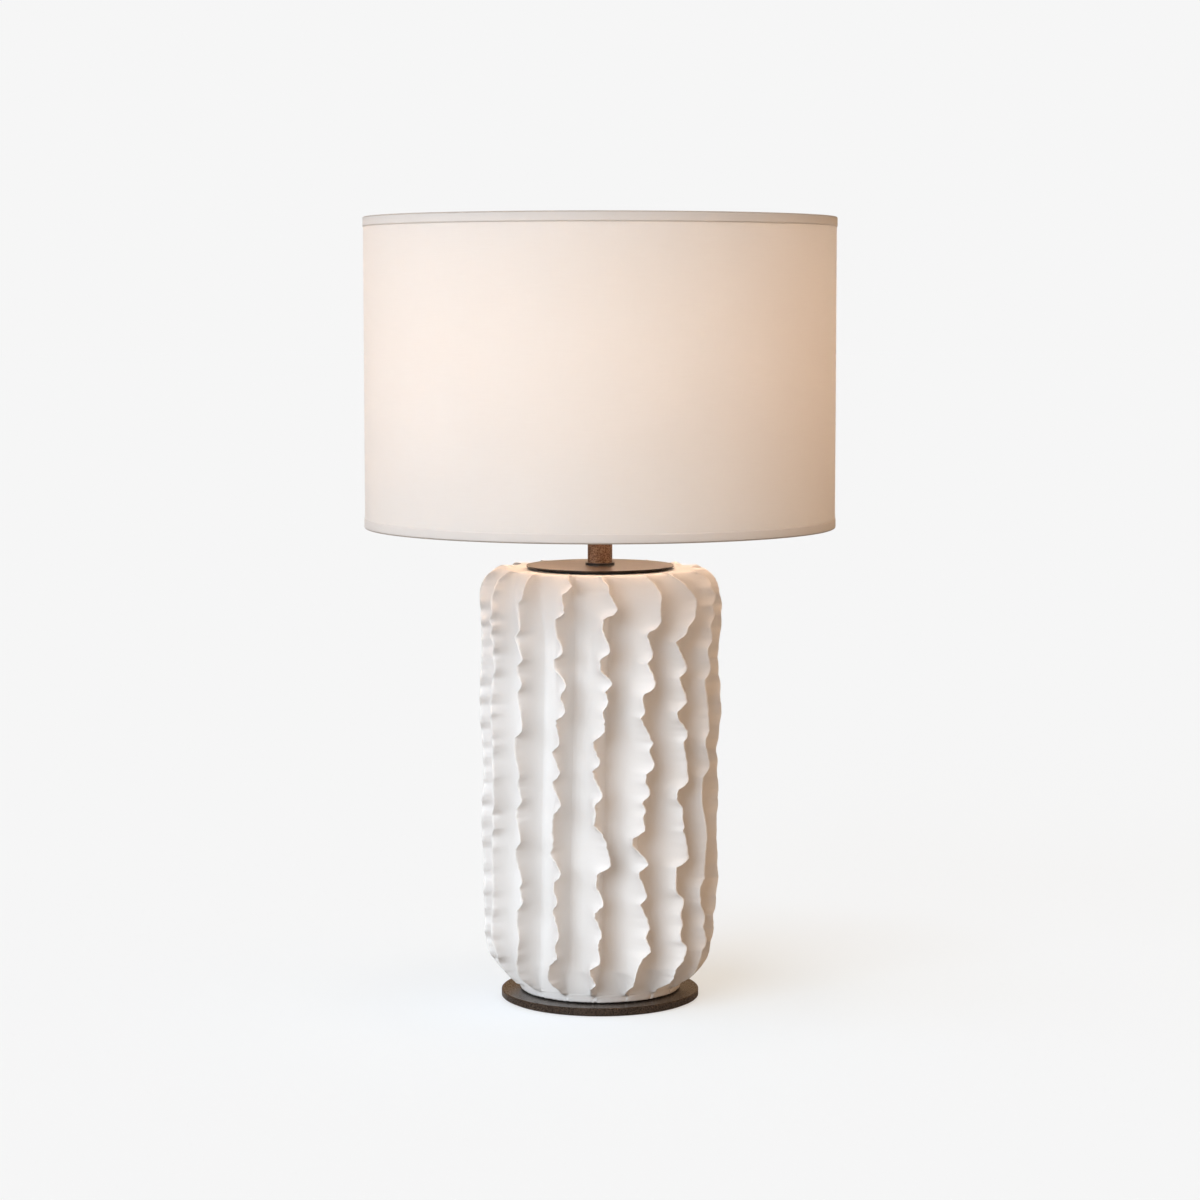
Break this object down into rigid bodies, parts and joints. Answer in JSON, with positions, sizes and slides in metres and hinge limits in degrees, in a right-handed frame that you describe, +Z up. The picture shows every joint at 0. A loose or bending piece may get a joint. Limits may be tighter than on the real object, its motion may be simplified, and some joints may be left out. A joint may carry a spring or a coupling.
{
  "type": "ceramic table lamp",
  "caption": "Table lamp: white ceramic pot with ruffled upright fins on a flat bronze disc, slim bronze neck, and a straight off-white fabric drum shade over a screw-in bulb.",
  "frame": {"origin": "on the table under the middle of the lamp, at the underside of the felt", "axes": "+Z up through bulb and shade, -Y towards the front, +Y towards the cord inlet at the back, +X towards the switch knob"},
  "size_m": [0.35, 0.35, 0.5838],
  "materials": {
    "felt": "dense brown-black felt",
    "bronze_plate": "satin dark bronze powder coat with fine speckle",
    "black_foam": "closed-cell foam",
    "zinc_steel": "bright zinc plate",
    "white_plastic": "moulded",
    "white_ceramic": "matt white, unglazed, with fine tool marks",
    "black_rubber": "moulded, matt",
    "bronze_disc": "satin dark bronze",
    "black_metal": "satin black",
    "bronze_tube": "satin brown bronze with a fine hammered grain",
    "black_plastic": "moulded thermoset",
    "porcelain": "glazed white porcelain",
    "brass": "plain",
    "nickel": "nickel-plated brass",
    "white_wire": "white epoxy coat",
    "shade_trim": "the shade's cloth folded round the hoop",
    "shade_cloth": "off-white plain weave",
    "shade_lining": "translucent white styrene",
    "solder": "soldered eyelet",
    "black_glass": "black insulator",
    "bulb_plastic": "white moulded",
    "light_board": "white board with yellow emitters",
    "opal_globe": "opal diffuser"
  },
  "bodies": {
    "stand": {"base_felt": "felt", "base_plate": "bronze_plate", "base_gasket": "black_foam", "rod_washer": "zinc_steel", "rod_nut": "zinc_steel", "threaded_rod": "zinc_steel", "bottom_centring_bush": "white_plastic", "ceramic_pot": "white_ceramic", "cord_grommet": "black_rubber", "top_centring_bush": "white_plastic", "top_gasket": "black_rubber", "cap_disc": "bronze_disc", "neck_collar": "black_metal", "neck_tube": "bronze_tube", "holder_cap": "black_plastic", "holder_lock_screw": "zinc_steel", "holder_shell": "black_plastic", "holder_insert": "porcelain", "terminal_screws": "brass", "screw_shell": "nickel", "centre_contact": "brass", "switch_bush": "brass", "switch_leaf": "brass"},
    "switch": {"switch_shaft": "zinc_steel", "switch_knob": "black_plastic"},
    "ring_nut": {"shade_ring": "black_plastic"},
    "shade": {"shade_carrier": "white_wire", "shade_bottom_wire": "white_wire", "shade_top_wire": "white_wire", "shade_bottom_trim": "shade_trim", "shade_top_trim": "shade_trim", "shade_fabric": "shade_cloth", "shade_liner": "shade_lining"},
    "bulb_tip": {"bulb_contact": "solder", "bulb_insulator": "black_glass"},
    "bulb": {"bulb_cap": "nickel", "bulb_housing": "bulb_plastic", "led_board": "light_board", "bulb_globe": "opal_globe"}
  },
  "joints": [
    {"name": "switch_turn", "type": "hinge", "parent": "stand", "child": "switch", "pos_m": [0.0224, 0, 0.381], "axis": [1, 0, 0], "continuous": true},
    {"name": "ring_slacken", "type": "hinge", "parent": "stand", "child": "ring_nut", "pos_m": [0, 0, 0.3982], "axis": [0, 0, 1], "range_deg": [0, 90]},
    {"name": "shade_swivel", "type": "hinge", "parent": "stand", "child": "shade", "pos_m": [0, 0, 0.397], "axis": [0, 0, 1], "continuous": true},
    {"name": "bulb_lift", "type": "slide", "parent": "stand", "child": "bulb_tip", "axis": [0, 0, 1], "range_m": [0, 0.024]},
    {"name": "bulb_turn", "type": "hinge", "parent": "bulb_tip", "child": "bulb", "pos_m": [0, 0, 0.407], "axis": [0, 0, 1], "range_deg": [0, 2387]}
  ],
  "couplings": [
    {"joint": "bulb_turn", "follows": "bulb_lift", "rad_per_m": 1735.7}
  ]
}
